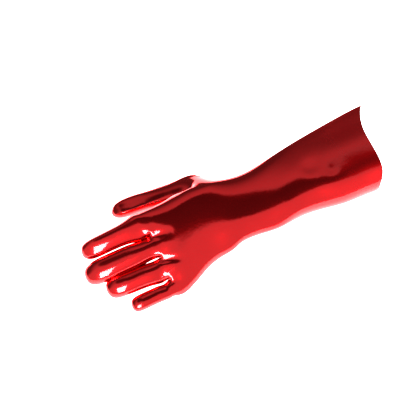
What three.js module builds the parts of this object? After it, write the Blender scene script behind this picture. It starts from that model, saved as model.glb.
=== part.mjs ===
// A glossy red pvc gauntlet glove for the left hand, lying palm down on a surface.
//
// The glove is one dipped shell with an open cuff and five closed tips. Its outer skin is a smooth
// subdivision surface through a cage of quads: rings of twenty points run from the cuff to the
// finger roots, each finger and the thumb is a tube of rings of eight points, and neighbouring
// fingers share the three points of the web between them. The inner skin lies one wall inside.
//
// Frame: X runs from the fingertips (-X) to the cuff (+X), Y points to the thumb side and Z up from
// the surface that the glove lies on. The origin is the middle of the footprint.

import * as THREE from 'three';

// Driving dimensions, in millimetres.
const gauntletLength = 193;
const handLength = 105.6;
const wall = 1.6;

const cuffWidth = 111;
const cuffHeight = 46;
const wristWidth = 80;
const wristHeight = 40;
const palmWidth = 112;
const palmThickness = 31;

// Height of the hand's middle over the surface.
const handHeight = 23.1;

const indexLength = 81;
const indexDiameter = 21.6;
const middleLength = 89;
const middleDiameter = 26;
const ringLength = 72.5;
const ringDiameter = 23.8;
const littleLength = 53;
const littleDiameter = 18.2;

const thumbLength = 98;
const thumbDiameter = 22.6;

// How far the cuff's edge runs ahead at the fold and hangs back at the near side.
const rimLead = 16;
const rimLag = 13;

// How far the underside is pressed flat where the glove rests.
const pressedFlat = 1;

// How far the back and palm edges of a web lie ahead of its middle, towards the fingertips.
const webBackLead = -3;
const webPalmLead = -1;

// How far the hand is rolled over onto its little-finger side, in degrees.
const handRoll = 17;

// Passes that pull the cage until the smooth surface runs through its points.
const fitPasses = 8;

const gloveMaterial = new THREE.MeshStandardMaterial({
  name: 'pvc_red',
  color: 0xc41f24,
  roughness: 0.18,
  metalness: 0,
});

// Fingers from the thumb side to the little-finger side. across is the place of the finger's axis
// from the palm's middle as a share of the palm's width. drop is how far the tip sags to the palm
// and lean how far it leans to the thumb side, as shares of the finger's length. flare_far and
// flare_near say how much the root widens to the thumb side and to the little-finger side.
const FINGERS = [
  {
    name: 'index',
    length: indexLength,
    diameter: indexDiameter,
    across: 0.356,
    drop: 0.12,
    lean: -0.01,
    flare_far: 0.00,
    flare_near: 0.22,
  },
  {
    name: 'middle',
    length: middleLength,
    diameter: middleDiameter,
    across: 0.095,
    drop: 0.12,
    lean: 0.0,
    flare_far: 0.02,
    flare_near: 0.00,
  },
  {
    name: 'ring',
    length: ringLength,
    diameter: ringDiameter,
    across: -0.146,
    drop: 0.09,
    lean: 0.03,
    flare_far: 0.00,
    flare_near: 0.18,
  },
  {
    name: 'little',
    length: littleLength,
    diameter: littleDiameter,
    across: -0.400,
    drop: 0.03,
    lean: 0.0,
    flare_far: 0.04,
    flare_near: 0.00,
  },
];

// Rings of a finger from its root to its tip: place along the finger, share of its diameter and share
// of the root's flare.
const FINGER_RINGS = [
  { along: 0.09, width: 1.02, flare: 1.0 },
  { along: 0.25, width: 1.00, flare: 0.4 },
  { along: 0.45, width: 0.98, flare: 0.1 },
  { along: 0.65, width: 1.00, flare: 0.0 },
  { along: 0.82, width: 0.97, flare: 0.0 },
  { along: 0.94, width: 0.74, flare: 0.0 },
];

// Webs between neighbouring fingers: how far each lies from the root line to the wrist, as a share
// of the hand's length, and the height of its back and palm edges as shares of the palm's thickness.
const WEBS = [
  { place: -0.03, back: 0.20, palm: 0.22 },
  { place: 0.02, back: 0.20, palm: 0.22 },
  { place: 0.01, back: 0.20, palm: 0.22 },
];

// Sections of the gauntlet from the cuff's rim to the wrist. along is the share of the gauntlet's
// length from the wrist; widen and heighten go from the wrist's size (0) to the cuff's (1); shift is
// the middle's place across as a share of the cuff's width; belly is the share of the height below
// the widest line; roll is the share of the hand's roll; far says how round the thumb-side edge is,
// from a sharp fold (0) to a full round (1).
const GAUNTLET_SECTIONS = [
  { along: 1.000, widen: 1.00, heighten: 1.00, shift: 0.112, belly: 0.36, roll: 0, far: 0.10 },
  { along: 0.966, widen: 1.00, heighten: 1.00, shift: 0.112, belly: 0.36, roll: 0, far: 0.10 },
  { along: 0.890, widen: 0.95, heighten: 0.97, shift: 0.112, belly: 0.36, roll: 0, far: 0.10 },
  { along: 0.760, widen: 0.84, heighten: 0.90, shift: 0.104, belly: 0.38, roll: 0, far: 0.10 },
  { along: 0.625, widen: 0.63, heighten: 0.80, shift: 0.106, belly: 0.40, roll: 0, far: 0.12 },
  { along: 0.438, widen: 0.30, heighten: 0.60, shift: 0.100, belly: 0.44, roll: 0.1, far: 0.20 },
  { along: 0.265, widen: 0.15, heighten: 0.35, shift: 0.064, belly: 0.48, roll: 0.2, far: 0.40 },
  { along: 0.125, widen: 0.02, heighten: 0.15, shift: 0.070, belly: 0.52, roll: 0.3, far: 0.80 },
];

// Sections of the hand from the wrist to the finger roots. along is the share of the hand's length
// from the wrist; widen and thicken go from the wrist's size (0) to the palm's (1); shift is the
// middle's place across as a share of the palm's width; roots is how far the columns follow the
// fingers; valley is the depth of the furrows that run back from the webs.
const HAND_SECTIONS = [
  { along: 0.00, widen: 0.15, thicken: 0, shift: 0.095, belly: 0.5, roll: 0.5, roots: 0, valley: 0 },
  { along: 0.18, widen: 0.43, thicken: 0.15, shift: 0.092, belly: 0.5, roll: 0.7, roots: 0.2, valley: 0 },
  { along: 0.32, widen: 0.48, thicken: 0.33, shift: 0.090, belly: 0.5, roll: 0.9, roots: 0.4, valley: 0 },
  { along: 0.46, widen: 0.57, thicken: 0.50, shift: 0.070, belly: 0.5, roll: 1, roots: 0.6, valley: 0 },
  { along: 0.62, widen: 0.73, thicken: 0.67, shift: 0.027, belly: 0.5, roll: 1, roots: 0.8, valley: 0.03 },
  { along: 0.77, widen: 0.90, thicken: 0.85, shift: -0.011, belly: 0.48, roll: 1, roots: 1, valley: 0.12 },
  { along: 0.90, widen: 1, thicken: 1, shift: -0.028, belly: 0.46, roll: 1, roots: 1, valley: 0.38 },
];

// Place of the thumb's root: along is a share of the hand's length from the wrist, out of the palm's
// width to the thumb side and up of the palm's thickness. slant turns the root's ring, so that the
// side towards the fingers lies further along.
const THUMB_ROOT = { along: 0.315, out: 0.518, up: 0.70, slant: 0.70 };

// The thumb's axis from its root to its tip, in shares of its length: along towards the fingertips,
// out to the thumb side and up from the surface. width is the share of its diameter.
const THUMB_PATH = [
  { along: 0.00, out: 0.000, up: 0.000, width: 1.22 },
  { along: 0.11, out: 0.040, up: -0.028, width: 1.12 },
  { along: 0.26, out: 0.072, up: -0.060, width: 1.04 },
  { along: 0.43, out: 0.106, up: -0.090, width: 1.00 },
  { along: 0.61, out: 0.136, up: -0.110, width: 1.00 },
  { along: 0.80, out: 0.157, up: -0.118, width: 0.98 },
  { along: 0.93, out: 0.165, up: -0.120, width: 0.74 },
];
const THUMB_TIP = { along: 1.0, out: 0.168, up: -0.120 };

// The thumb grows out of four quads of the hand: these rings and columns bound them.
const THUMB_FIRST_SECTION = 1;
const THUMB_ROWS = 2;

// Columns of a hand ring: nine on the back, one on the near side, nine on the palm and one on the
// thumb side, counted round from the thumb side of the back.
const COLUMNS = 20;
const BACK_COLUMNS = 9;
const NEAR_SIDE = BACK_COLUMNS;
const THUMB_SIDE = COLUMNS - 1;
const THUMB_COLUMNS = [17, 18, 19];
const backColumn = (k) => k;
const palmColumn = (k) => 2 * NEAR_SIDE - k;
const isWebColumn = (k) => k % 2 === 0 && k > 0 && k < BACK_COLUMNS - 1;

// Places of the nine back columns from the thumb side (1) to the little-finger side (-1) where they
// don't follow the fingers.
const EVEN_PLACES = [0.94, 0.80, 0.58, 0.32, 0.04, -0.25, -0.53, -0.77, -0.94];

// Shares of a finger's radius at its root: how far out the outermost columns lie, and how high the
// outermost columns, the others and the sides lie from the finger's axis.
const EDGE_OUT = 0.72;
const EDGE_RISE = 0.735;
const ROOT_RISE = 1.05;
const ROOT_SIDE = 1.02;

// Powers that shape a section's outline and the curve of the rim.
const OUTLINE_POWER = 2.5;
const LEAD_POWER = 2;
const LAG_POWER = 6;

const radians = (degrees) => (degrees * Math.PI) / 180;
const mix = (a, b, share) => a + (b - a) * share;

// Places of the nine columns at the finger roots, as shares of the palm's half width.
function rootPlaces() {
  const half = palmWidth / 2;
  const places = [];
  FINGERS.forEach((finger, k) => {
    const axis = finger.across * palmWidth;
    const radius = finger.diameter / 2;
    if (k === 0) {
      places.push((axis + EDGE_OUT * radius) / half);
    }
    places.push(axis / half);
    if (k < FINGERS.length - 1) {
      const next = FINGERS[k + 1];
      const nextFar = next.across * palmWidth + next.diameter / 2;
      places.push((axis - radius + nextFar) / 2 / half);
    } else {
      places.push((axis - EDGE_OUT * radius) / half);
    }
  });
  return places;
}

// Height of a section's outline over its widest line, from 0 at the edges to 1 in the middle.
function outline(place, farRound) {
  const round = place > 0 ? farRound : 1;
  const reach = Math.min(Math.abs(place), 1);
  return (1 - reach ** OUTLINE_POWER) ** (1 / (1 + round));
}

// One ring of twenty points from a section's sizes.
function ringPoints(section) {
  const roots = rootPlaces();
  const angle = radians(section.roll);
  const points = new Array(COLUMNS);
  const lead = (share) => section.slant
    * (share > 0 ? rimLead * share ** LEAD_POWER : -rimLag * share ** LAG_POWER);
  const place = (across, height) => new THREE.Vector3(
    section.x + lead(across / section.half),
    section.y + across * Math.cos(angle) - height * Math.sin(angle),
    section.z + across * Math.sin(angle) + height * Math.cos(angle),
  );
  for (let k = 0; k < BACK_COLUMNS; k += 1) {
    const share = mix(EVEN_PLACES[k], roots[k], section.roots);
    const rise = outline(share, section.far);
    const furrow = isWebColumn(k) ? 1 - section.valley : 1;
    points[backColumn(k)] = place(share * section.half, rise * furrow * section.top);
    points[palmColumn(k)] = place(share * section.half, -rise * furrow * section.bottom);
  }
  points[THUMB_SIDE] = place(section.half, 0);
  points[NEAR_SIDE] = place(-section.half, 0);
  return points;
}

function gauntletSection(row) {
  const height = mix(wristHeight, cuffHeight, row.heighten);
  return {
    x: row.along * gauntletLength,
    y: row.shift * cuffWidth,
    z: row.belly * height - pressedFlat,
    slant: row.along * row.along,
    half: mix(wristWidth, cuffWidth, row.widen) / 2,
    top: (1 - row.belly) * height,
    bottom: row.belly * height,
    roll: row.roll * handRoll,
    far: row.far,
    roots: 0,
    valley: 0,
  };
}

function handSection(row) {
  const height = mix(wristHeight, palmThickness, row.thicken);
  return {
    x: -row.along * handLength,
    y: row.shift * palmWidth,
    z: handHeight,
    slant: 0,
    half: mix(wristWidth, palmWidth, row.widen) / 2,
    top: (1 - row.belly) * height,
    bottom: row.belly * height,
    roll: row.roll * handRoll,
    far: 1,
    roots: row.roots,
    valley: row.valley,
  };
}

// A cage under construction: points, and quads of their numbers with the outside counterclockwise.
function newCage() {
  return { points: [], quads: [] };
}

function addLoop(cage, points) {
  return points.map((point) => cage.points.push(point) - 1);
}

function bridge(cage, loop, next) {
  const count = loop.length;
  for (let j = 0; j < count; j += 1) {
    const after = (j + 1) % count;
    cage.quads.push([loop[j], next[j], next[after], loop[after]]);
  }
}

function capTip(cage, loop, point) {
  const tip = cage.points.push(point) - 1;
  const count = loop.length;
  for (let j = 1; j < count; j += 2) {
    cage.quads.push([loop[j], tip, loop[(j + 2) % count], loop[(j + 1) % count]]);
  }
}

// A frame of the hand: along points to the fingertips, across to the thumb side, up out of the back.
function handFrame() {
  const angle = radians(handRoll);
  const last = handSection(HAND_SECTIONS[HAND_SECTIONS.length - 1]);
  return {
    origin: new THREE.Vector3(-handLength, last.y, last.z),
    along: new THREE.Vector3(-1, 0, 0),
    across: new THREE.Vector3(0, Math.cos(angle), Math.sin(angle)),
    up: new THREE.Vector3(0, -Math.sin(angle), Math.cos(angle)),
  };
}

function inHand(frame, along, across, up) {
  return frame.origin.clone()
    .addScaledVector(frame.along, along)
    .addScaledVector(frame.across, across)
    .addScaledVector(frame.up, up);
}

// The line of the finger roots: nine points on the back, nine on the palm, and five between them,
// which are the hand's two outer sides and the middles of the three webs.
function rootLine(cage) {
  const frame = handFrame();
  const back = [];
  const palm = [];
  const middle = [];
  const places = rootPlaces();
  const half = palmWidth / 2;
  for (let k = 0; k < BACK_COLUMNS; k += 1) {
    const across = places[k] * half;
    if (isWebColumn(k)) {
      const web = WEBS[k / 2 - 1];
      const along = -web.place * handLength;
      back.push(inHand(frame, along + webBackLead, across, web.back * palmThickness));
      palm.push(inHand(frame, along + webPalmLead, across, -web.palm * palmThickness));
      middle.push(inHand(frame, along, across, 0));
    } else {
      const finger = FINGERS[Math.min(Math.floor(k / 2), FINGERS.length - 1)];
      const outermost = k === 0 || k === BACK_COLUMNS - 1;
      const rise = finger.diameter / 2 * (outermost ? EDGE_RISE : ROOT_RISE);
      back.push(inHand(frame, 0, across, rise));
      palm.push(inHand(frame, 0, across, -rise));
    }
  }
  const sideOf = (finger) => ROOT_SIDE * finger.diameter / 2;
  const index = FINGERS[0];
  const little = FINGERS[FINGERS.length - 1];
  const thumbSide = inHand(frame, 0, index.across * palmWidth + sideOf(index), 0);
  const nearSide = inHand(frame, 0, little.across * palmWidth - sideOf(little), 0);
  const backIds = addLoop(cage, back);
  const palmIds = addLoop(cage, palm);
  const middleIds = addLoop(cage, [thumbSide, ...middle, nearSide]);
  return { back: backIds, palm: palmIds, middle: middleIds };
}

// Eight points round an axis point, from the thumb side of the back round to the thumb side.
const ROUND_ANGLES = [135, 90, 45, 0, -45, -90, -135, 180];

function addFinger(cage, finger, loop) {
  const frame = handFrame();
  const axis = finger.across * palmWidth;
  let previous = loop;
  const at = (along) => ({
    across: axis + finger.lean * finger.length * along * along,
    up: -finger.drop * finger.length * along * along,
  });
  FINGER_RINGS.forEach((row) => {
    const centre = at(row.along);
    const radius = finger.diameter / 2 * row.width;
    const tilt = Math.atan(-2 * finger.drop * row.along);
    const points = ROUND_ANGLES.map((degrees) => {
      const turn = Math.cos(radians(degrees));
      const flare = 2 * row.flare * (turn > 0 ? finger.flare_near : finger.flare_far);
      const rise = radius * Math.sin(radians(degrees));
      return inHand(
        frame,
        row.along * finger.length - rise * Math.sin(tilt),
        centre.across - radius * turn * (1 + flare),
        centre.up + rise * Math.cos(tilt),
      );
    });
    const ring = addLoop(cage, points);
    bridge(cage, previous, ring);
    previous = ring;
  });
  const end = at(1);
  capTip(cage, previous, inHand(frame, finger.length, end.across, end.up));
}

// The thumb's rings, turned with its axis. The first point of each lies outwards and down.
const THUMB_ANGLES = [-45, 0, 45, 90, 135, 180, 225, 270];

function thumbRing(path, k) {
  const before = path[Math.max(k - 1, 0)];
  const ahead = path[k + 1].clone().sub(before).normalize();
  const outer = new THREE.Vector3(0, 0, -1).cross(ahead).normalize();
  const up = new THREE.Vector3().crossVectors(outer, ahead);
  const radius = thumbDiameter / 2 * THUMB_PATH[k].width;
  const slant = k === 0 ? THUMB_ROOT.slant : 0;
  return THUMB_ANGLES.map((degrees) => {
    const side = radius * Math.cos(radians(degrees));
    return path[k].clone()
      .addScaledVector(outer, side)
      .addScaledVector(up, radius * Math.sin(radians(degrees)))
      .addScaledVector(ahead, -slant * side);
  });
}

function addThumb(cage, loop) {
  const root = new THREE.Vector3(
    -THUMB_ROOT.along * handLength,
    THUMB_ROOT.out * palmWidth,
    THUMB_ROOT.up * palmThickness,
  );
  const path = [...THUMB_PATH, THUMB_TIP].map((row) => new THREE.Vector3(-row.along, row.out, row.up)
    .multiplyScalar(thumbLength)
    .add(root));
  thumbRing(path, 0).forEach((point, j) => cage.points[loop[j]].copy(point));
  let previous = loop;
  for (let k = 1; k < THUMB_PATH.length; k += 1) {
    const ring = addLoop(cage, thumbRing(path, k));
    bridge(cage, previous, ring);
    previous = ring;
  }
  capTip(cage, previous, path[path.length - 1]);
}

// The whole cage, and its open loop at the cuff.
function buildCage() {
  const cage = newCage();
  const sections = [
    ...GAUNTLET_SECTIONS.map(gauntletSection),
    ...HAND_SECTIONS.map(handSection),
  ];
  const rings = sections.map((section) => addLoop(cage, ringPoints(section)));
  const roots = rootLine(cage);
  const lastRing = new Array(COLUMNS);
  for (let k = 0; k < BACK_COLUMNS; k += 1) {
    lastRing[backColumn(k)] = roots.back[k];
    lastRing[palmColumn(k)] = roots.palm[k];
  }
  lastRing[THUMB_SIDE] = roots.middle[0];
  lastRing[NEAR_SIDE] = roots.middle[roots.middle.length - 1];
  rings.push(lastRing);

  const first = GAUNTLET_SECTIONS.length + THUMB_FIRST_SECTION;
  const last = first + THUMB_ROWS;
  for (let i = 0; i + 1 < rings.length; i += 1) {
    for (let j = 0; j < COLUMNS; j += 1) {
      const onThumb = i >= first && i < last && (j === THUMB_COLUMNS[0] || j === THUMB_COLUMNS[1]);
      if (!onThumb) {
        const after = (j + 1) % COLUMNS;
        cage.quads.push([rings[i][j], rings[i + 1][j], rings[i + 1][after], rings[i][after]]);
      }
    }
  }

  FINGERS.forEach((finger, k) => {
    const { back, palm, middle } = roots;
    addFinger(cage, finger, [
      back[2 * k], back[2 * k + 1], back[2 * k + 2], middle[k + 1],
      palm[2 * k + 2], palm[2 * k + 1], palm[2 * k], middle[k],
    ]);
  });

  const [low, edge, high] = THUMB_COLUMNS;
  addThumb(cage, [
    rings[first][low], rings[first][edge], rings[first][high],
    rings[first + 1][high],
    rings[last][high], rings[last][edge], rings[last][low],
    rings[first + 1][low],
  ]);
  return withoutLoosePoints(cage);
}

// The cage without the points that no quad uses.
function withoutLoosePoints(cage) {
  const used = [...new Set(cage.quads.flat())].sort((a, b) => a - b);
  const renumbered = new Map(used.map((id, k) => [id, k]));
  return {
    points: used.map((id) => cage.points[id]),
    quads: cage.quads.map((quad) => quad.map((id) => renumbered.get(id))),
  };
}

const edgeKey = (a, b) => (a < b ? `${a}_${b}` : `${b}_${a}`);

// Edges of a quad mesh, each with the quads at its sides.
function edgeTable(quads) {
  const edges = new Map();
  quads.forEach((quad, number) => {
    quad.forEach((a, j) => {
      const b = quad[(j + 1) % 4];
      const key = edgeKey(a, b);
      if (!edges.has(key)) {
        edges.set(key, { ends: [a, b], quads: [] });
      }
      edges.get(key).quads.push(number);
    });
  });
  return edges;
}

// Where each point of a mesh comes to lie on the smooth surface.
function smoothPlaces(mesh) {
  const { points, quads } = mesh;
  const near = points.map(() => ({
    edges: new THREE.Vector3(), across: new THREE.Vector3(), valence: 0, rim: [],
  }));
  edgeTable(quads).forEach(({ ends, quads: sides }) => {
    const [a, b] = ends;
    near[a].edges.add(points[b]);
    near[b].edges.add(points[a]);
    near[a].valence += 1;
    near[b].valence += 1;
    if (sides.length === 1) {
      near[a].rim.push(b);
      near[b].rim.push(a);
    }
  });
  quads.forEach((quad) => quad.forEach((a, j) => near[a].across.add(points[quad[(j + 2) % 4]])));
  return points.map((point, id) => {
    const { edges, across, valence, rim } = near[id];
    if (rim.length === 2) {
      return point.clone().multiplyScalar(4).add(points[rim[0]]).add(points[rim[1]]).divideScalar(6);
    }
    return point.clone().multiplyScalar(valence * valence)
      .addScaledVector(edges, 4)
      .add(across)
      .divideScalar(valence * (valence + 5));
  });
}

// Moves the cage's points until the smooth surface runs through their first places.
function fitCage(cage) {
  const goals = cage.points.map((point) => point.clone());
  for (let pass = 0; pass < fitPasses; pass += 1) {
    const reached = smoothPlaces(cage);
    cage.points.forEach((point, id) => point.add(goals[id]).sub(reached[id]));
  }
}

// One step of Catmull-Clark subdivision.
function subdivide(mesh) {
  const { points, quads } = mesh;
  const edges = edgeTable(quads);
  const centres = quads.map((quad) => quad
    .reduce((sum, id) => sum.add(points[id]), new THREE.Vector3())
    .divideScalar(4));
  const around = points.map(() => ({
    centres: new THREE.Vector3(), middles: new THREE.Vector3(), valence: 0, rim: [],
  }));
  quads.forEach((quad, number) => quad.forEach((id) => around[id].centres.add(centres[number])));
  edges.forEach(({ ends: [a, b], quads: sides }) => {
    const middle = points[a].clone().add(points[b]).multiplyScalar(0.5);
    [a, b].forEach((id) => {
      around[id].middles.add(middle);
      around[id].valence += 1;
      if (sides.length === 1) {
        around[id].rim.push(middle);
      }
    });
  });
  const next = points.map((point, id) => {
    const { centres: sum, middles, valence, rim } = around[id];
    if (rim.length === 2) {
      return point.clone().multiplyScalar(2).add(rim[0]).add(rim[1]).divideScalar(4);
    }
    return sum.clone().divideScalar(valence)
      .addScaledVector(middles, 2 / valence)
      .addScaledVector(point, valence - 3)
      .divideScalar(valence);
  });
  const centreIds = centres.map((point) => next.push(point) - 1);
  edges.forEach((edge) => {
    const { ends: [a, b], quads: sides } = edge;
    const middle = points[a].clone().add(points[b]);
    if (sides.length === 1) {
      middle.multiplyScalar(0.5);
    } else {
      middle.add(centres[sides[0]]).add(centres[sides[1]]).multiplyScalar(0.25);
    }
    edge.middleId = next.push(middle) - 1;
  });
  const nextQuads = [];
  quads.forEach((quad, number) => quad.forEach((id, j) => {
    const after = edges.get(edgeKey(id, quad[(j + 1) % 4])).middleId;
    const before = edges.get(edgeKey(id, quad[(j + 3) % 4])).middleId;
    nextQuads.push([id, after, centreIds[number], before]);
  }));
  return { points: next, quads: nextQuads };
}

// Mean direction out of the surface at each point.
function outwardNormals(mesh) {
  const normals = mesh.points.map(() => new THREE.Vector3());
  mesh.quads.forEach((quad) => {
    const [a, b, c, d] = quad.map((id) => mesh.points[id]);
    const normal = new THREE.Vector3().crossVectors(c.clone().sub(a), d.clone().sub(b));
    quad.forEach((id) => normals[id].add(normal));
  });
  return normals.map((normal) => normal.normalize());
}

// The shell between the outer skin and an inner one, joined by a flat lip round the cuff.
function shellGeometry(skin) {
  const normals = outwardNormals(skin);
  const rim = [...edgeTable(skin.quads).values()].filter(({ quads }) => quads.length === 1);
  const inner = skin.points.map((point, id) => {
    const moved = point.clone().addScaledVector(normals[id], -wall);
    moved.z = Math.max(moved.z, wall);
    return moved;
  });
  rim.forEach(({ ends }) => ends.forEach((id) => {
    inner[id].x = skin.points[id].x;
  }));
  const count = skin.points.length;
  const positions = [...skin.points, ...inner].flatMap((point) => [
    point.x, point.y, Math.max(point.z, 0),
  ]);
  const triangles = [];
  const addQuad = (a, b, c, d) => triangles.push(a, b, c, a, c, d);
  skin.quads.forEach(([a, b, c, d]) => {
    addQuad(a, b, c, d);
    addQuad(d + count, c + count, b + count, a + count);
  });
  rim.forEach(({ ends: [a, b] }) => addQuad(b, a, a + count, b + count));
  const geometry = new THREE.BufferGeometry();
  geometry.setAttribute('position', new THREE.Float32BufferAttribute(positions, 3));
  geometry.setIndex(triangles);
  return geometry;
}

function buildShell() {
  const cage = buildCage();
  fitCage(cage);
  const fine = subdivide(cage);
  fine.points = smoothPlaces(fine);
  return shellGeometry(fine);
}

const geometry = buildShell();
geometry.computeBoundingBox();
const box = geometry.boundingBox;
geometry.translate(-(box.min.x + box.max.x) / 2, -(box.min.y + box.max.y) / 2, -box.min.z);

const glove = new THREE.Mesh(geometry, gloveMaterial);
glove.name = 'glove_shell';

const group = new THREE.Group();
group.add(glove);

export default group;
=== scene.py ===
"""The looks of a glossy red pvc gauntlet glove, lying palm down on a pale floor.

The glove is one smooth shell. Its outer skin is a subdivision surface through a cage of quads, worked
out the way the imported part's is, then evened out on the back, with small grooves pressed in and waves
added. Its inner skin is the cotton knit that the coating was dipped over. Sizes are in millimetres
unless a comment says otherwise; meshes, lights and the camera are in metres.
"""

import math

import bpy
import numpy as np
from mathutils import Matrix, Vector, noise


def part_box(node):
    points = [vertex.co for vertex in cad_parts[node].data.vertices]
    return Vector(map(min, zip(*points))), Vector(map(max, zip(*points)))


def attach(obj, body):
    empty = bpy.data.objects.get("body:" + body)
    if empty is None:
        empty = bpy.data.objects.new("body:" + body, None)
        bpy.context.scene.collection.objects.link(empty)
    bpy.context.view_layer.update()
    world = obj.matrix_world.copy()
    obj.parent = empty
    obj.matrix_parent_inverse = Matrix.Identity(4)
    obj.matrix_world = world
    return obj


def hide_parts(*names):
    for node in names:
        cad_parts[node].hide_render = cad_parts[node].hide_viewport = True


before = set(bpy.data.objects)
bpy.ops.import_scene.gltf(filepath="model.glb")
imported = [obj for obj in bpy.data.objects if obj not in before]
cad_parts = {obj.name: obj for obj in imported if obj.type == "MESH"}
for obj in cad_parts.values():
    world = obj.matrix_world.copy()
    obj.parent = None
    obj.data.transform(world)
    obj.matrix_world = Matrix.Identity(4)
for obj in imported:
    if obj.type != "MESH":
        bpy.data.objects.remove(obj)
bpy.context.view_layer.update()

MM = 0.001

# Driving dimensions.
GAUNTLET_LENGTH = 193
HAND_LENGTH = 105.6
WALL = 1.6
CUFF_WIDTH = 111
CUFF_HEIGHT = 46
WRIST_WIDTH = 80
WRIST_HEIGHT = 40
PALM_WIDTH = 112
PALM_THICKNESS = 31
HAND_HEIGHT = 23.1
HAND_ROLL = math.radians(17)
THUMB_LENGTH = 105.4
THUMB_DIAMETER = 22.6

# How far the cuff's cut edge runs ahead on the thumb side and stays back on the near side, how far the
# gauntlet's sections are sunk into the floor, and how softly the underside flattens there.
RIM_LEAD = 16
RIM_LAG = 13
PRESSED_FLAT = 1
FLOOR_SOFTNESS = 0.4

# How far the back and palm edges of a web lie towards the fingertips from its middle.
WEB_BACK_LEAD = -3
WEB_PALM_LEAD = -1

# Passes that fit the cage to the surface, and levels of subdivision.
FIT_PASSES = 8
SMOOTH_LEVELS = 3

# Stretches of the back that are evened out: the two ends along X, how long each takes to start and to
# end, and the passes. A pass moves a point by this share, and so many passes share one set of normals.
RELAX = [
    dict(start=-125, end=60, fade=20, passes=15),
    dict(start=-98, end=60, fade=25, passes=110),
]
RELAX_SHARE = 0.5
PASSES_PER_NORMAL = 10

# Grooves pressed into the back, seen from above: the two ends of each, its half width and its depth.
# A depth under 0 raises a ridge. From its start to its end a groove widens and fades by these shares.
DENTS = [
    dict(start=(-114, 2), end=(-88, -2.5), width=3.6, depth=2.8),
    dict(start=(-109, -28), end=(-88, -35), width=3.0, depth=2.2),
    dict(start=(-111, -54), end=(-89, -58), width=3.4, depth=0.9),
    dict(start=(-116, -46), end=(-78, -41), width=2.2, depth=-0.5),
    dict(start=(104, -2), end=(122, -6), width=9.0, depth=1.5),
    dict(start=(128, -17), end=(140, -14), width=9.0, depth=1.2),
]
DENT_WIDENS = 0.6
DENT_FADES = 0.75

# Waves of the gauntlet's top: where along X they start and are full, their lengths along and across,
# their height, and where in the noise they are read.
RIPPLE = dict(between=(30, 90), along=52, across=30, height=1.3, seed=3.7)

# What counts as facing up, by the Z of the direction out of the skin: not at all at the first value,
# fully at the second. The first pair is for evening out, the second for dents and waves.
RELAX_FACING = (0.3, 0.7)
TOP_FACING = (0.0, 0.5)

# Fingers from the thumb side to the little-finger side: length, diameter, the axis's place across as
# a share of the palm's width, how far the tip drops and leans as shares of the length, how much the
# root widens to the thumb side and to the little-finger side as shares of the diameter, by how much
# the rest is wider than round to the same two sides, and the share by which the thumb-side shoulder
# rises above round.
FINGERS = [
    dict(
        length=81,
        diameter=21.6,
        across=0.356,
        drop=0.12,
        lean=-0.01,
        flare=(0.28, 0.22),
        swell=(2.6, 0.8),
        shoulder=0.26,
    ),
    dict(
        length=89,
        diameter=26,
        across=0.095,
        drop=0.12,
        lean=0.00,
        flare=(0.02, 0.00),
        swell=(3.6, 1.6),
        shoulder=0.10,
    ),
    dict(
        length=72.5,
        diameter=23.8,
        across=-0.146,
        drop=0.09,
        lean=0.03,
        flare=(0.00, 0.18),
        swell=(1.8, 2.0),
        shoulder=0.08,
    ),
    dict(
        length=53,
        diameter=18.2,
        across=-0.400,
        drop=0.03,
        lean=0.00,
        flare=(0.04, 0.00),
        swell=(2.2, 0.0),
        shoulder=0.05,
    ),
]
# How steeply the fingers' drop grows towards the tips.
DROP_POWER = 3

# Rings of a finger: place along it, share of its diameter, share of the root's flare, share of the swell.
FINGER_RINGS = [
    (0.09, 1.04, 1.0, 0.0),
    (0.25, 1.02, 0.4, 0.6),
    (0.45, 0.98, 0.1, 1.0),
    (0.65, 1.00, 0.0, 1.0),
    (0.82, 0.97, 0.0, 0.9),
    (0.94, 0.74, 0.0, 0.6),
]

# Webs: place from the root line to the wrist as a share of the hand's length, and the height of the
# back and palm edges as shares of the palm's thickness.
WEBS = [(0.01, 0.36, 0.22), (0.02, 0.36, 0.22), (0.01, 0.32, 0.22)]

# Gauntlet sections: place from the wrist to the cuff, shares of the way from the wrist's width and
# height to the cuff's, sideways shift as a share of the cuff's width, share of the height under the
# widest line, share of the hand's roll, and roundness of the thumb-side edge.
GAUNTLET_SECTIONS = [
    (1.000, 1.00, 1.00, 0.112, 0.36, 0.0, 0.10),
    (0.966, 1.00, 1.00, 0.112, 0.36, 0.0, 0.10),
    (0.890, 0.95, 0.97, 0.112, 0.36, 0.0, 0.10),
    (0.760, 0.84, 0.90, 0.104, 0.38, 0.0, 0.10),
    (0.625, 0.63, 0.80, 0.106, 0.40, 0.0, 0.12),
    (0.438, 0.30, 0.60, 0.100, 0.44, 0.1, 0.20),
    (0.265, 0.15, 0.35, 0.064, 0.48, 0.2, 0.40),
    (0.125, 0.02, 0.15, 0.070, 0.52, 0.3, 0.80),
]

# Hand sections: place from the wrist to the finger roots, shares of the way from the wrist's width and
# height to the palm's, sideways shift as a share of the palm's width, share of the height under the
# widest line, share of the hand's roll, how closely the columns follow the finger roots, and the depth
# of the furrows between the fingers as a share of the height. One roundness of the thumb-side edge
# goes for them all.
HAND_SECTIONS = [
    (0.00, 0.15, 0.00, 0.095, 0.50, 0.5, 0.0, 0.00),
    (0.13, 0.36, 0.11, 0.093, 0.50, 0.65, 0.15, 0.00),
    (0.25, 0.455, 0.24, 0.091, 0.50, 0.80, 0.30, 0.00),
    (0.36, 0.505, 0.38, 0.085, 0.50, 0.93, 0.46, 0.00),
    (0.49, 0.60, 0.53, 0.063, 0.50, 1.0, 0.64, 0.00),
    (0.62, 0.73, 0.67, 0.027, 0.50, 1.0, 0.8, 0.00),
    (0.77, 0.90, 0.85, -0.011, 0.51, 1.0, 1.0, 0.04),
    (0.90, 1.00, 1.00, -0.028, 0.54, 1.0, 1.0, 0.10),
]
HAND_FAR_EDGE = 3

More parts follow.
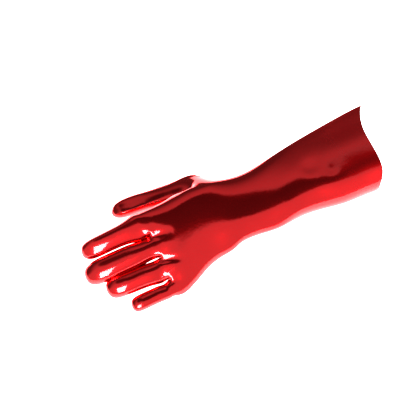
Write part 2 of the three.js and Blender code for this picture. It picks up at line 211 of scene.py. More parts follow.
# The thumb's root: along the hand, out from its middle and up, as shares of the hand's length and the
# palm's width and thickness, and how far its ring slants. Then the thumb's axis in shares of its
# length, to the fingertips, outwards and up, with the share of its diameter.
THUMB_ROOT = dict(along=0.245, out=0.518, up=0.70, slant=0.50)
THUMB_PATH = [
    (0.00, 0.000, 0.000, 1.16),
    (0.17, 0.037, -0.026, 1.12),
    (0.31, 0.067, -0.056, 1.04),
    (0.47, 0.099, -0.084, 1.00),
    (0.64, 0.127, -0.102, 1.00),
    (0.81, 0.146, -0.110, 0.98),
    (0.935, 0.1535, -0.112, 0.74),
]
THUMB_TIP = (1.0, 0.156, -0.112)

# How the thumb's rings turn about its axis, and how far their shoulders and their top stand out as
# shares of round. Then the hand section and the rows and columns of quads where the thumb is joined.
THUMB_TURN = math.radians(-6)
THUMB_SHOULDER = 1.17
THUMB_CROWN = 0.92
THUMB_FIRST_SECTION = 1
THUMB_ROWS = 2
THUMB_COLUMNS = (17, 18, 19)
THUMB_ANGLES = (-45, 0, 45, 90, 135, 180, 225, 270)

# Columns of a ring: nine on the back, the near side, nine on the palm and the thumb side. The even
# places of the nine are shares of half the width. The angles are those of a finger ring's points, and
# of the one that is its thumb-side shoulder.
COLUMNS = 20
BACK_COLUMNS = 9
NEAR_SIDE = BACK_COLUMNS
THUMB_SIDE = COLUMNS - 1
EVEN_PLACES = (0.94, 0.80, 0.58, 0.32, 0.04, -0.25, -0.53, -0.77, -0.94)
ROUND_ANGLES = (135, 90, 45, 0, -45, -90, -135, 180)
SHOULDER_ANGLE = 135

# The finger roots, in shares of a finger's radius: how far out and how high the outermost columns are,
# how high the one on the index finger's back is, how high the others are, and how far out the sides
# are. Then how far the thumb side of the root line stands out beyond the index finger.
EDGE_OUT = 0.72
EDGE_RISE = 0.735
EDGE_RISE_FAR = 0.92
ROOT_RISE = 1.05
ROOT_SIDE = 1.02
TAPER_FAR = 6

# Powers of a section's outline and of the cuff edge's lead and lag.
OUTLINE_POWER = 2.5
LEAD_POWER = 2
LAG_POWER = 6

# The fold along the gauntlet's thumb side: the power of its outline, the place along the gauntlet
# where it is full, how far it lifts, how much of the lift leans to the near side, and how far the
# crest of the back moves to the near side as a share of half the width.
FOLD_POWER = 2.0
FOLD_START = 0.5
FOLD_LIFT = 14
FOLD_LEAN = 0.4
CREST_SKEW = 0.17

# The pvc: the coating's share of the wall at the cut edge, its colours, its roughness where smoothest
# and where roughest, the places along X in metres between which handling makes it rougher towards the
# cuff and by how much, and the scales of its clouds and of its fine unevenness.
COATING_SHARE = 0.55
PVC_COLOURS = ((0.64, 0.004, 0.007, 1), (0.76, 0.006, 0.010, 1))
PVC_ROUGHNESS = (0.10, 0.18)
HANDLED = dict(start=0.06, end=0.18, roughness=0.16)
CLOUD_SCALE = 22.0
PEEL_SCALE = 240.0

# Loops of the knit inside, how steeply a loop's strands run and how high they stand against their
# grooves, the height that has the pale colour, the scale of the fuzz, and the yarn's colours: the pale
# one is the off-white yarn on raised strands, the dark one is painted shade in the grooves.
LOOP_WIDTH = 1.8
LOOP_HEIGHT = 1.5
LOOP_SLANT = 1.6
STRAND_LIFT = 1.4
KNIT_TOP = 3.0
FUZZ_SCALE = 900.0
YARN_AND_GROOVE_SHADE_COLOURS = ((0.42, 0.36, 0.29, 1), (0.82, 0.78, 0.70, 1))

# The camera, as the photograph has it: degrees, its distance and its aim.
CAMERA_AZIMUTH = -26.0
CAMERA_ELEVATION = 70.0
CAMERA_DISTANCE = 1800
CAMERA_TARGET = (0, 8, 22)
CAMERA_AIM_RIGHT = -37.3
CAMERA_AIM_UP = 1.0
MM_PER_PIXEL = 1.235
IMAGE_PIXELS = 400
SENSOR_MM = 36

# The studio round the glove, by the direction that is looked in, as a unit vector. Its walls go from
# the near brightness to the far one between two values of Y. The far wall is dimmed to a share of
# that up to one value of Z, and not at all from another.
WALLS = dict(near=0.78, far=0.60, turn=(-0.10, 0.30))
LOW_FAR_WALL = dict(level=0.24, rise=(0.50, 0.96))

# Dark patches overhead: the middle and reach of each as parts of the same direction, the softness of
# its edge, and the share of the brightness that it leaves.
DARK_PATCHES = [
    dict(centre=(0.18, 0.01, 1.0), reach=(0.28, 0.30, 0.6), edge=0.14, level=0.08),
    dict(centre=(-0.18, 0.28, 0.94), reach=(0.17, 0.32, 0.6), edge=0.30, level=0.12),
]

# How far the floor reaches each way, in metres, and how strongly it glows, as a lit sweep does.
FLOOR_REACH = 6
FLOOR_GLOW = 2.2

# The softbox: where its lower and upper edges are seen from the fingers, as azimuth and elevation, its
# width in degrees and its brightness. It stands far off, in metres, from a point in millimetres.
LIGHT_AIM = (-140, 0, 20)
LIGHT_DISTANCE = 5.0
KEY_LIGHT = dict(low=(-111, 18), high=(-120, 57), width=18, level=17)

# How the picture is brought out.
EXPOSURE = 0.3
GAMMA = 0.8


def mix(a, b, share):
    return a + (b - a) * share


def is_web_column(k):
    return k % 2 == 0 and 0 < k < BACK_COLUMNS - 1


def palm_column(k):
    return 2 * NEAR_SIDE - k


def root_places():
    """Places of the nine back columns at the finger roots, as shares of the palm's half width."""
    half = PALM_WIDTH / 2
    places = []
    for k, finger in enumerate(FINGERS):
        axis = finger["across"] * PALM_WIDTH
        radius = finger["diameter"] / 2
        if k == 0:
            places.append((axis + EDGE_OUT * radius + TAPER_FAR) / half)
        places.append(axis / half)
        if k < len(FINGERS) - 1:
            following = FINGERS[k + 1]
            following_far = following["across"] * PALM_WIDTH + following["diameter"] / 2
            places.append((axis - radius + following_far) / 2 / half)
        else:
            places.append((axis - EDGE_OUT * radius) / half)
    return places


def outline(place, far, fold):
    """Height of a section's outline over its widest line, 0 at the edges and 1 at the crest."""
    sharpness = 1 / (1 + (far if place > 0 else 1))
    power = OUTLINE_POWER if place < 0 else mix(OUTLINE_POWER, FOLD_POWER, fold)
    return (1 - min(abs(place), 1) ** power) ** sharpness


def gauntlet_section(row):
    along, widen, heighten, shift, belly, roll, far = row
    height = mix(WRIST_HEIGHT, CUFF_HEIGHT, heighten)
    return dict(
        x=along * GAUNTLET_LENGTH,
        y=shift * CUFF_WIDTH,
        z=belly * height - PRESSED_FLAT,
        slant=along * along,
        half=mix(WRIST_WIDTH, CUFF_WIDTH, widen) / 2,
        top=(1 - belly) * height,
        bottom=belly * height,
        roll=roll * HAND_ROLL,
        far=far,
        fold=min(along / FOLD_START, 1),
        roots=0,
        valley=0,
    )


def hand_section(row):
    along, widen, thicken, shift, belly, roll, roots, valley = row
    height = mix(WRIST_HEIGHT, PALM_THICKNESS, thicken)
    return dict(
        x=-along * HAND_LENGTH,
        y=shift * PALM_WIDTH,
        z=HAND_HEIGHT,
        slant=0,
        half=mix(WRIST_WIDTH, PALM_WIDTH, widen) / 2,
        top=(1 - belly) * height,
        bottom=belly * height,
        roll=roll * HAND_ROLL,
        far=HAND_FAR_EDGE,
        fold=0,
        roots=roots,
        valley=valley,
    )


def ring_points(section):
    """The twenty points of a section's ring."""
    cos, sin = math.cos(section["roll"]), math.sin(section["roll"])

    def place(across, height):
        share = across / section["half"]
        lead = RIM_LEAD * share**LEAD_POWER if share > 0 else -RIM_LAG * share**LAG_POWER
        lift = FOLD_LIFT * section["fold"] * max(share, 0) ** 2
        return np.array(
            (
                section["x"] + section["slant"] * lead,
                section["y"] + across * cos - height * sin - lift * FOLD_LEAN,
                section["z"] + across * sin + height * cos + lift,
            )
        )

    points = [None] * COLUMNS
    for k, root in enumerate(root_places()):
        share = mix(EVEN_PLACES[k], root, section["roots"])
        skewed = share + CREST_SKEW * section["fold"] * (1 - share * share)
        rise = outline(skewed, section["far"], section["fold"])
        rise *= 1 - section["valley"] if is_web_column(k) else 1
        points[k] = place(share * section["half"], rise * section["top"])
        points[palm_column(k)] = place(share * section["half"], -rise * section["bottom"])
    points[THUMB_SIDE] = place(section["half"], 0)
    points[NEAR_SIDE] = place(-section["half"], 0)
    return points


class Cage:
    """Points, and quads of their numbers with the outside counterclockwise and a place on the knit."""

    def __init__(self):
        self.points = []
        self.quads = []
        self.knit = []

    def add_loop(self, points):
        first = len(self.points)
        self.points.extend(points)
        return list(range(first, len(self.points)))

    def add_quad(self, ids, knit):
        self.quads.append(ids)
        self.knit.append(knit)

    def bridge(self, loop, following, start, end, girth):
        """Quads between two loops; start and end are their places along the knit."""
        count = len(loop)
        for j in range(count):
            after = (j + 1) % count
            low, high = j / count * girth, (j + 1) / count * girth
            ids = (loop[j], following[j], following[after], loop[after])
            self.add_quad(ids, ((start, low), (end, low), (end, high), (start, high)))

    def cap(self, loop, point, start, end, girth):
        """Quads from a loop to one point, each over two of the loop's edges."""
        tip = self.add_loop([point])[0]
        count = len(loop)
        for j in range(1, count, 2):
            low, middle, high = (j / count * girth, (j + 1) / count * girth, (j + 2) / count * girth)
            ids = (loop[j], tip, loop[(j + 2) % count], loop[(j + 1) % count])
            self.add_quad(ids, ((start, low), (end, middle), (start, high), (start, middle)))


def hand_point(along, across, up):
    """A point of the hand's own frame: along to the fingertips from the finger roots, across to the
    thumb side, up out of the back of the hand."""
    last = hand_section(HAND_SECTIONS[-1])
    cos, sin = math.cos(HAND_ROLL), math.sin(HAND_ROLL)
    return np.array(
        (
            -HAND_LENGTH - along,
            last["y"] + across * cos - up * sin,
            last["z"] + across * sin + up * cos,
        )
    )


def root_line(cage):
    """The loop of finger roots: its back and palm points, and the middles of sides and webs."""
    half = PALM_WIDTH / 2
    back, palm, middle = [], [], []
    for k, place in enumerate(root_places()):
        across = place * half
        if is_web_column(k):
            web_place, web_back, web_palm = WEBS[k // 2 - 1]
            along = -web_place * HAND_LENGTH
            back.append(hand_point(along + WEB_BACK_LEAD, across, web_back * PALM_THICKNESS))
            palm.append(hand_point(along + WEB_PALM_LEAD, across, -web_palm * PALM_THICKNESS))
            middle.append(hand_point(along, across, 0))
        else:
            finger = FINGERS[min(k // 2, len(FINGERS) - 1)]
            radius = finger["diameter"] / 2
            outermost = k in (0, BACK_COLUMNS - 1)
            rise = radius * (EDGE_RISE if outermost else ROOT_RISE)
            back.append(hand_point(0, across, radius * EDGE_RISE_FAR if k == 0 else rise))
            palm.append(hand_point(0, across, -rise))
    index, little = FINGERS[0], FINGERS[-1]
    thumb_side = index["across"] * PALM_WIDTH + ROOT_SIDE * index["diameter"] / 2 + TAPER_FAR
    near_side = little["across"] * PALM_WIDTH - ROOT_SIDE * little["diameter"] / 2
    middle = [hand_point(0, thumb_side, 0), *middle, hand_point(0, near_side, 0)]
    return cage.add_loop(back), cage.add_loop(palm), cage.add_loop(middle)


def add_finger(cage, finger, loop):
    length, girth = finger["length"], math.pi * finger["diameter"]
    axis = finger["across"] * PALM_WIDTH
    previous, start = loop, HAND_LENGTH
    for along, width, flare, swell in FINGER_RINGS:
        radius = finger["diameter"] / 2 * width
        tilt = math.atan(-DROP_POWER * finger["drop"] * along ** (DROP_POWER - 1))
        points = []
        for degrees in ROUND_ANGLES:
            turn = math.cos(math.radians(degrees))
            side = 1 if turn > 0 else 0
            wide = radius * (1 + 2 * flare * finger["flare"][side]) + swell * finger["swell"][side]
            rise = radius * math.sin(math.radians(degrees))
            if degrees == SHOULDER_ANGLE:
                wide *= 1 + finger["shoulder"] / 2
                rise *= 1 + finger["shoulder"]
            points.append(
                hand_point(
                    along * length - rise * math.sin(tilt),
                    axis + finger["lean"] * length * along**2 - turn * wide,
                    -finger["drop"] * length * along**DROP_POWER + rise * math.cos(tilt),
                )
            )
        ring = cage.add_loop(points)
        end = HAND_LENGTH + along * length
        cage.bridge(previous, ring, start, end, girth)
        previous, start = ring, end
    tip = hand_point(length, axis + finger["lean"] * length, -finger["drop"] * length)
    cage.cap(previous, tip, start, HAND_LENGTH + length, girth)


def unit(vector):
    return vector / np.linalg.norm(vector)


def thumb_ring(path, k):
    """Eight points round the thumb's axis; the first lies outwards and down."""
    ahead = unit(path[k + 1] - path[max(k - 1, 0)])
    outer = unit(np.cross((0, 0, -1), ahead))
    up = np.cross(outer, ahead)
    radius = THUMB_DIAMETER / 2 * THUMB_PATH[k][3]
    slant = THUMB_ROOT["slant"] if k == 0 else 0
    points = []
    for degrees in THUMB_ANGLES:
        share = {90: THUMB_CROWN, 45: THUMB_SHOULDER, 135: THUMB_SHOULDER}.get(degrees, 1)
        angle = math.radians(degrees) + THUMB_TURN
        side = radius * share * math.cos(angle)
        rise = radius * share * math.sin(angle)
        points.append(path[k] + outer * side + up * rise - ahead * slant * side)
    return points


def add_thumb(cage, loop):
    root = np.array(
        (
            -THUMB_ROOT["along"] * HAND_LENGTH,
            THUMB_ROOT["out"] * PALM_WIDTH,
            THUMB_ROOT["up"] * PALM_THICKNESS,
        )
    )
    rows = [*THUMB_PATH, THUMB_TIP]
    path = [root + THUMB_LENGTH * np.array((-row[0], row[1], row[2])) for row in rows]
    for number, point in zip(loop, thumb_ring(path, 0)):
        cage.points[number] = point
    girth = math.pi * THUMB_DIAMETER
    previous = loop
    for k in range(1, len(THUMB_PATH)):
        ring = cage.add_loop(thumb_ring(path, k))
        start, end = THUMB_PATH[k - 1][0] * THUMB_LENGTH, THUMB_PATH[k][0] * THUMB_LENGTH
        cage.bridge(previous, ring, start, end, girth)
        previous = ring
    cage.cap(previous, path[-1], end, THUMB_LENGTH, girth)


def build_cage():
    cage = Cage()
    sections = [gauntlet_section(row) for row in GAUNTLET_SECTIONS]
    sections += [hand_section(row) for row in HAND_SECTIONS]
    rings = [cage.add_loop(ring_points(section)) for section in sections]
    back, palm, middle = root_line(cage)
    last_ring = [None] * COLUMNS
    for k in range(BACK_COLUMNS):
        last_ring[k] = back[k]
        last_ring[palm_column(k)] = palm[k]
    last_ring[THUMB_SIDE] = middle[0]
    last_ring[NEAR_SIDE] = middle[-1]
    rings.append(last_ring)
    places = [-section["x"] for section in sections] + [HAND_LENGTH]

    first = len(GAUNTLET_SECTIONS) + THUMB_FIRST_SECTION
    last = first + THUMB_ROWS
    step = 2 * (PALM_WIDTH + PALM_THICKNESS) / COLUMNS
    for i in range(len(rings) - 1):
        for j in range(COLUMNS):
            if first <= i < last and j in THUMB_COLUMNS[:2]:
                continue
            after = (j + 1) % COLUMNS
            ids = (rings[i][j], rings[i + 1][j], rings[i + 1][after], rings[i][after])
            start, end, low, high = places[i], places[i + 1], j * step, (j + 1) * step
            cage.add_quad(ids, ((start, low), (end, low), (end, high), (start, high)))

    for k, finger in enumerate(FINGERS):
        j = 2 * k
        loop = (back[j], back[j + 1], back[j + 2], middle[k + 1])
        loop += (palm[j + 2], palm[j + 1], palm[j], middle[k])
        add_finger(cage, finger, loop)

    low, edge, high = THUMB_COLUMNS
    loop = [rings[first][low], rings[first][edge], rings[first][high], rings[first + 1][high]]
    loop += [rings[last][high], rings[last][edge], rings[last][low], rings[first + 1][low]]
    add_thumb(cage, loop)
    return cage


def sides_of(quads):
    """The two point numbers of each side of each quad."""
    return np.stack([quads, np.roll(quads, -1, 1)], 2).reshape(-1, 2)


def fit_cage(cage):
    """Moves the cage's points until the smooth surface runs through their first places. The limit
    of a point is that of Catmull-Clark subdivision, and of a cubic spline along the open edge."""
    goals = np.array(cage.points)
    quads = np.array(cage.quads)
    used = np.unique(quads)
    edges, counts = np.unique(np.sort(sides_of(quads), 1), axis=0, return_counts=True)
    rim_edges = edges[counts == 1]
    rim = np.unique(rim_edges)
    valence = np.bincount(edges.ravel(), minlength=len(goals)).astype(float)[:, None]
    valence[valence == 0] = 1
    points = goals.copy()
    for _ in range(FIT_PASSES):
        near, across, beside = (np.zeros_like(points) for _ in range(3))
        np.add.at(near, edges[:, 0], points[edges[:, 1]])
        np.add.at(near, edges[:, 1], points[edges[:, 0]])
        np.add.at(across, quads, points[np.roll(quads, -2, 1)])
        np.add.at(beside, rim_edges[:, 0], points[rim_edges[:, 1]])
        np.add.at(beside, rim_edges[:, 1], points[rim_edges[:, 0]])
        reached = (points * valence**2 + 4 * near + across) / (valence * (valence + 5))
        reached[rim] = (4 * points[rim] + beside[rim]) / 6
        points[used] += goals[used] - reached[used]
    numbers = np.full(len(points), -1)
    numbers[used] = np.arange(len(used))
    return points[used], numbers[quads], np.array(cage.knit)


def smooth_skin():
    """Points, quads and knit places of the smooth outer skin, in metres."""
    points, quads, knit = fit_cage(build_cage())
    mesh = bpy.data.meshes.new("cage")
    mesh.from_pydata((points * MM).tolist(), [], quads.tolist())
    layer = mesh.uv_layers.new(name="knit")
    layer.data.foreach_set("uv", (knit * MM).astype(np.float32).ravel())
    cage = bpy.data.objects.new("cage", mesh)
    bpy.context.scene.collection.objects.link(cage)
    smooth = cage.modifiers.new("smooth", "SUBSURF")
    smooth.levels = SMOOTH_LEVELS
    smooth.render_levels = SMOOTH_LEVELS
    smooth.use_limit_surface = True
    fine = cage.evaluated_get(bpy.context.evaluated_depsgraph_get()).to_mesh()
    co = np.empty(len(fine.vertices) * 3)
    fine.vertices.foreach_get("co", co)
    ids = np.empty(len(fine.loops), int)
    fine.loops.foreach_get("vertex_index", ids)
    places = np.empty(len(fine.loops) * 2)
    fine.uv_layers["knit"].data.foreach_get("uv", places)
    bpy.data.objects.remove(cage)
    bpy.data.meshes.remove(mesh)
    return co.reshape(-1, 3), ids.reshape(-1, 4), places.reshape(-1, 4, 2)


def seat_on_floor(points):
    """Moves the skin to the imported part's place and presses its underside flat on the floor."""
    low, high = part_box("glove_shell")
    middle = (points.min(0) + points.max(0)) / 2
    points[:, 0] += (low.x + high.x) / 2 - middle[0]
    points[:, 1] += (low.y + high.y) / 2 - middle[1]
    softness = FLOOR_SOFTNESS * MM
    z = points[:, 2]
    points[:, 2] = (z + np.sqrt(z * z + softness * softness)) / 2
    points[:, 2] -= points[:, 2].min()


def outward(points, quads):
    """Mean direction out of the surface at each point."""
    a, b, c, d = (points[quads[:, k]] for k in range(4))
    faces = np.cross(c - a, d - b)
    normals = np.zeros_like(points)
    for k in range(4):
        np.add.at(normals, quads[:, k], faces)
    return normals / np.linalg.norm(normals, axis=1)[:, None]


def facing_up(points, quads, none, full):
    """How far each point faces up, from 0 to 1 between two values of its direction's Z."""
    return np.clip((outward(points, quads)[:, 2] - none) / (full - none), 0, 1)


def relax(points, quads, start, end, fade, passes):
    """Evens out what faces up between two places along the glove."""
    edges = np.unique(np.sort(sides_of(quads), 1), axis=0)
    count = np.bincount(edges.ravel(), minlength=len(points))[:, None]
    x = points[:, 0] / MM
    between = np.clip(np.minimum(x - start, end - x) / fade, 0, 1)
    weight = between * facing_up(points, quads, *RELAX_FACING) * RELAX_SHARE
    for number in range(passes):
        if number % PASSES_PER_NORMAL == 0:
            normals = outward(points, quads)
        mean = np.zeros_like(points)
        for k in range(2):
            np.add.at(mean, edges[:, k], points[edges[:, 1 - k]])
        away = ((mean / count - points) * normals).sum(1)
        points += (weight * away)[:, None] * normals


def press(points, quads, start, end, width, depth):
    """Presses a soft groove into what faces up, along a line seen from above."""
    a, b = np.array(start) * MM, np.array(end) * MM
    along = np.clip((points[:, :2] - a) @ (b - a) / ((b - a) @ (b - a)), 0, 1)
    away = np.linalg.norm(points[:, :2] - a - along[:, None] * (b - a), axis=1)
    spread = width * MM * (1 + DENT_WIDENS * along)
    sunk = depth * MM * (1 - DENT_FADES * along) * facing_up(points, quads, *TOP_FACING)
    points[:, 2] -= sunk * np.exp(-((away / spread) ** 2))


def ripple(points, quads):
    """Raises and lowers what faces up on the gauntlet a little, as soft sheeting lies."""
    start, full = (place * MM for place in RIPPLE["between"])
    share = np.clip((points[:, 0] - start) / (full - start), 0, 1)
    share *= facing_up(points, quads, *TOP_FACING)
    for k in np.flatnonzero(share):
        x, y = points[k, 0] / (RIPPLE["along"] * MM), points[k, 1] / (RIPPLE["across"] * MM)
        points[k, 2] += share[k] * RIPPLE["height"] * MM * noise.noise((x, y, RIPPLE["seed"]))


def shell_object(points, quads, places, materials):
    """The shell: outer skin, inner skin one wall inside, and a cut edge of coating and knit."""
    normals = outward(points, quads)
    wall = WALL * MM
    inner = points - normals * wall
    inner[:, 2] = np.maximum(inner[:, 2], wall)
    sides = sides_of(quads)
    _, first, counts = np.unique(np.sort(sides, 1), axis=0, return_index=True, return_counts=True)
    rim = sides[first[counts == 1]]
    ring = np.unique(rim)
    inner[ring, 0] = points[ring, 0]
    between = mix(points[ring], inner[ring], COATING_SHARE)
    count = len(points)
    number = np.zeros(count, int)
    number[ring] = 2 * count + np.arange(len(ring))
    a, b = rim[:, 0], rim[:, 1]
    faces = [
        quads,
        quads[:, ::-1] + count,
        np.stack([b, a, number[a], number[b]], 1),
        np.stack([number[b], number[a], a + count, b + count], 1),
    ]
    slots = np.repeat([0, 1, 0, 1], [len(part) for part in faces])
    flat = np.zeros((len(rim), 4, 2))
    uvs = np.concatenate([places, places[:, ::-1], flat, flat])

    mesh = bpy.data.meshes.new("glove")
    corners = np.concatenate([points, inner, between])
    mesh.from_pydata(corners.tolist(), [], np.concatenate(faces).tolist())
    mesh.uv_layers.new(name="knit").data.foreach_set("uv", uvs.astype(np.float32).ravel())
    mesh.polygons.foreach_set("material_index", slots.astype(np.int32))
    mesh.polygons.foreach_set("use_smooth", np.ones(len(slots), bool))
    for material in materials:
        mesh.materials.append(material)
    edges = np.empty(len(mesh.edges) * 2, int)
    mesh.edges.foreach_get("vertices", edges)
    edges = np.sort(edges.reshape(-1, 2), 1)
    lip = {tuple(sorted(edge)) for edge in rim.tolist()}
    lip |= {tuple(sorted((x + count, y + count))) for x, y in rim.tolist()}
    sharp = np.array([tuple(edge) in lip for edge in edges.tolist()])
    mesh.attributes.new("sharp_edge", "BOOLEAN", "EDGE").data.foreach_set("value", sharp)
    mesh.update()
    glove = bpy.data.objects.new("glove", mesh)
    bpy.context.scene.collection.objects.link(glove)
    return glove


def new_material(name):
    material = bpy.data.materials.new(name)
    material.use_nodes = True
    tree = material.node_tree
    shader = tree.nodes["Principled BSDF"]
    return material, tree, shader


def node(tree, kind, inputs=None, **settings):
    """A new node with its settings, and its inputs set or linked."""
    made = tree.nodes.new(kind)
    for name, value in settings.items():
        setattr(made, name, value)
    for name, value in (inputs or {}).items():
        if isinstance(value, bpy.types.NodeSocket):
            tree.links.new(value, made.inputs[name])
        else:
            made.inputs[name].default_value = value
    return made


def math_node(tree, kind, a, b):
    return node(tree, "ShaderNodeMath", {0: a, 1: b}, operation=kind).outputs["Value"]


def ease(tree, value, start, end, low, high):
    """low up to start, high from end, and a smooth way between."""
    inputs = {"Value": value, "From Min": start, "From Max": end, "To Min": low, "To Max": high}
    made = node(tree, "ShaderNodeMapRange", inputs, interpolation_type="SMOOTHSTEP")
    return made.outputs["Result"]


def mixed_colour(tree, factor, colours):
    inputs = {"Factor": factor, "A": colours[0], "B": colours[1]}
    return node(tree, "ShaderNodeMix", inputs, data_type="RGBA").outputs[2]


def pvc_material():
    """Glossy dipped pvc: deep red under a wet-looking coat, faintly uneven and duller at the cuff."""
    material, tree, shader = new_material("pvc")
    shader.inputs["Metallic"].default_value = 0.92
    shader.inputs["IOR"].default_value = 1.5
    shader.inputs["Coat Weight"].default_value = 1.0
    shader.inputs["Coat Roughness"].default_value = 0.03
    shader.inputs["Coat IOR"].default_value = 1.5
    place = node(tree, "ShaderNodeTexCoord").outputs["Object"]
    inputs = {"Vector": place, "Scale": CLOUD_SCALE, "Detail": 3.0}
    cloud = node(tree, "ShaderNodeTexNoise", inputs).outputs["Fac"]
    tree.links.new(mixed_colour(tree, cloud, PVC_COLOURS), shader.inputs["Base Color"])
    smoothest, roughest = PVC_ROUGHNESS
    inputs = {"Value": cloud, "To Min": smoothest, "To Max": roughest}
    rough = node(tree, "ShaderNodeMapRange", inputs).outputs["Result"]
    along = node(tree, "ShaderNodeSeparateXYZ", {"Vector": place}).outputs["X"]
    handled = ease(tree, along, HANDLED["start"], HANDLED["end"], 0.0, HANDLED["roughness"])
    tree.links.new(math_node(tree, "ADD", rough, handled), shader.inputs["Roughness"])
    inputs = {"Vector": place, "Scale": PEEL_SCALE, "Detail": 2.0}
    peel = node(tree, "ShaderNodeTexNoise", inputs).outputs["Fac"]
    bump = node(tree, "ShaderNodeBump", {"Height": peel, "Strength": 0.12, "Distance": 0.0004})
    tree.links.new(bump.outputs["Normal"], shader.inputs["Normal"])
    tree.links.new(bump.outputs["Normal"], shader.inputs["Coat Normal"])
    return material


def knit_material():
    """The cotton jersey inside: columns of small v-shaped loops in off-white yarn, with painted shade
    darkening the grooves between them.
    """
    material, tree, shader = new_material("knit")
    shader.inputs["Roughness"].default_value = 0.9
    shader.inputs["Sheen Weight"].default_value = 0.25
    shader.inputs["Sheen Roughness"].default_value = 0.5
    place = node(tree, "ShaderNodeUVMap", uv_map="knit").outputs["UV"]
    parts = node(tree, "ShaderNodeSeparateXYZ", {"Vector": place}).outputs
    columns = math_node(tree, "DIVIDE", parts["Y"], LOOP_WIDTH * MM)
    rows = math_node(tree, "DIVIDE", parts["X"], LOOP_HEIGHT * MM)
    fold = math_node(tree, "PINGPONG", columns, 0.5)
    slanted = math_node(tree, "ADD", rows, math_node(tree, "MULTIPLY", fold, LOOP_SLANT))
    strand = math_node(tree, "SINE", math_node(tree, "MULTIPLY", slanted, 2 * math.pi), 0.0)
    groove = math_node(tree, "SINE", math_node(tree, "MULTIPLY", fold, 2 * math.pi), 0.0)
    lifted = math_node(tree, "ADD", strand, STRAND_LIFT)
    relief = math_node(tree, "MULTIPLY", lifted, groove)
    fuzz = node(tree, "ShaderNodeTexNoise", {"Vector": place, "Scale": FUZZ_SCALE, "Detail": 3.0})
    height = math_node(tree, "ADD", relief, fuzz.outputs["Fac"])
    # Painted shade: the low parts of the relief, the grooves between loops, take the darker colour.
    shade = node(tree, "ShaderNodeMapRange", {"Value": height, "From Max": KNIT_TOP})
    colour = mixed_colour(tree, shade.outputs["Result"], YARN_AND_GROOVE_SHADE_COLOURS)
    tree.links.new(colour, shader.inputs["Base Color"])
    bump = node(tree, "ShaderNodeBump", {"Height": height, "Strength": 0.6, "Distance": 0.0003})
    tree.links.new(bump.outputs["Normal"], shader.inputs["Normal"])
    return material


def make_floor():
    mesh = bpy.data.meshes.new("floor")
    reach = FLOOR_REACH
    corners = [(-reach, -reach, 0), (reach, -reach, 0), (reach, reach, 0), (-reach, reach, 0)]
    mesh.from_pydata(corners, [], [(0, 1, 2, 3)])
    floor = bpy.data.objects.new("floor", mesh)
    bpy.context.scene.collection.objects.link(floor)
    material, _, shader = new_material("floor")
    shader.inputs["Base Color"].default_value = (0.90, 0.90, 0.90, 1)
    shader.inputs["Roughness"].default_value = 0.9
    shader.inputs["Specular IOR Level"].default_value = 0.1
    shader.inputs["Emission Color"].default_value = (1, 1, 1, 1)
    shader.inputs["Emission Strength"].default_value = FLOOR_GLOW
    mesh.materials.append(material)


def camera_axes():
    a, e = math.radians(CAMERA_AZIMUTH), math.radians(CAMERA_ELEVATION)
    right = Vector((math.cos(a), math.sin(a), 0))
    up = Vector((-math.sin(a) * math.sin(e), math.cos(a) * math.sin(e), math.cos(e)))
    back = Vector((math.sin(a) * math.cos(e), -math.cos(a) * math.cos(e), math.sin(e)))
    return right, up, back


def make_camera():
    right, up, back = camera_axes()
    target = Vector(CAMERA_TARGET) * MM
    place = target + back * CAMERA_DISTANCE * MM
    aim = target + (right * CAMERA_AIM_RIGHT + up * CAMERA_AIM_UP) * MM
    data = bpy.data.cameras.new("camera")
    data.sensor_width = SENSOR_MM
    data.lens = SENSOR_MM * CAMERA_DISTANCE / MM_PER_PIXEL / IMAGE_PIXELS
    camera = bpy.data.objects.new("camera", data)
    look_back = (place - aim).normalized()
    look_right = up.cross(look_back).normalized()
    look_up = look_back.cross(look_right)
    turn = Matrix((look_right, look_up, look_back)).transposed()
    camera.matrix_world = Matrix.LocRotScale(place, turn, None)
    bpy.context.scene.collection.objects.link(camera)
    bpy.context.scene.camera = camera


def direction(azimuth, elevation):
    """Unit vector; azimuth is counterclockwise from +X seen from above, in degrees."""
    a, e = math.radians(azimuth), math.radians(elevation)
    return Vector((math.cos(a) * math.cos(e), math.sin(a) * math.cos(e), math.sin(e)))


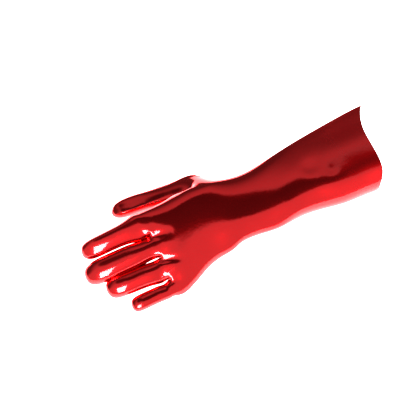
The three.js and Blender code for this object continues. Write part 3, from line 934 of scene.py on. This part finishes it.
def make_world():
    """A studio with bright walls on the near side, dimmer far ones and dark patches overhead."""
    world = bpy.data.worlds.new("studio")
    bpy.context.scene.world = world
    world.use_nodes = True
    tree = world.node_tree
    ray = node(tree, "ShaderNodeTexCoord").outputs["Generated"]
    parts = node(tree, "ShaderNodeSeparateXYZ", {"Vector": ray}).outputs
    turn, rise = WALLS["turn"], LOW_FAR_WALL["rise"]
    farness = ease(tree, parts["Y"], *turn, 0.0, 1.0)
    walls = ease(tree, parts["Y"], *turn, WALLS["near"], WALLS["far"])
    low = ease(tree, parts["Z"], *rise, LOW_FAR_WALL["level"], 1.0)
    dimmed = node(tree, "ShaderNodeMix", {"Factor": farness, "A": 1.0, "B": low}).outputs["Result"]
    level = math_node(tree, "MULTIPLY", walls, dimmed)
    for patch in DARK_PATCHES:
        inputs = {0: ray, 1: patch["centre"]}
        offset = node(tree, "ShaderNodeVectorMath", inputs, operation="SUBTRACT").outputs["Vector"]
        inputs = {0: offset, 1: patch["reach"]}
        scaled = node(tree, "ShaderNodeVectorMath", inputs, operation="DIVIDE").outputs["Vector"]
        away = node(tree, "ShaderNodeVectorMath", {0: scaled}, operation="LENGTH").outputs["Value"]
        shade = ease(tree, away, 1 - patch["edge"], 1 + patch["edge"], patch["level"], 1.0)
        level = math_node(tree, "MULTIPLY", level, shade)
    background = tree.nodes["Background"]
    background.inputs["Color"].default_value = (1, 1, 1, 1)
    tree.links.new(level, background.inputs["Strength"])


def make_key_light(low, high, width, level):
    """The softbox as the fingers see it: the azimuth and elevation of the middles of its lower and
    upper edges, its width in degrees, and its brightness."""
    aim = Vector(LIGHT_AIM) * MM
    low, high = direction(*low), direction(*high)
    ahead = (low + high).normalized()
    side = (high - low).cross(ahead).normalized()
    data = bpy.data.lights.new("key", "AREA")
    data.shape = "RECTANGLE"
    data.size = 2 * LIGHT_DISTANCE * math.tan(math.radians(width / 2))
    data.size_y = LIGHT_DISTANCE * (high - low).length / ahead.dot(low)
    data.energy = level * math.pi * data.size * data.size_y
    light = bpy.data.objects.new("key", data)
    turn = Matrix((side, ahead.cross(side), ahead)).transposed()
    light.matrix_world = Matrix.LocRotScale(aim + ahead * LIGHT_DISTANCE, turn, None)
    light.visible_camera = False
    bpy.context.scene.collection.objects.link(light)


make_camera()
skin, skin_quads, knit_places = smooth_skin()
seat_on_floor(skin)
for row in RELAX:
    relax(skin, skin_quads, **row)
for row in DENTS:
    press(skin, skin_quads, **row)
ripple(skin, skin_quads)
glove = shell_object(skin, skin_quads, knit_places, [pvc_material(), knit_material()])
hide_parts("glove_shell")
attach(glove, "root")
make_floor()
make_world()
make_key_light(**KEY_LIGHT)

bpy.context.scene.view_settings.view_transform = "Standard"
bpy.context.scene.view_settings.exposure = EXPOSURE
bpy.context.scene.view_settings.gamma = GAMMA
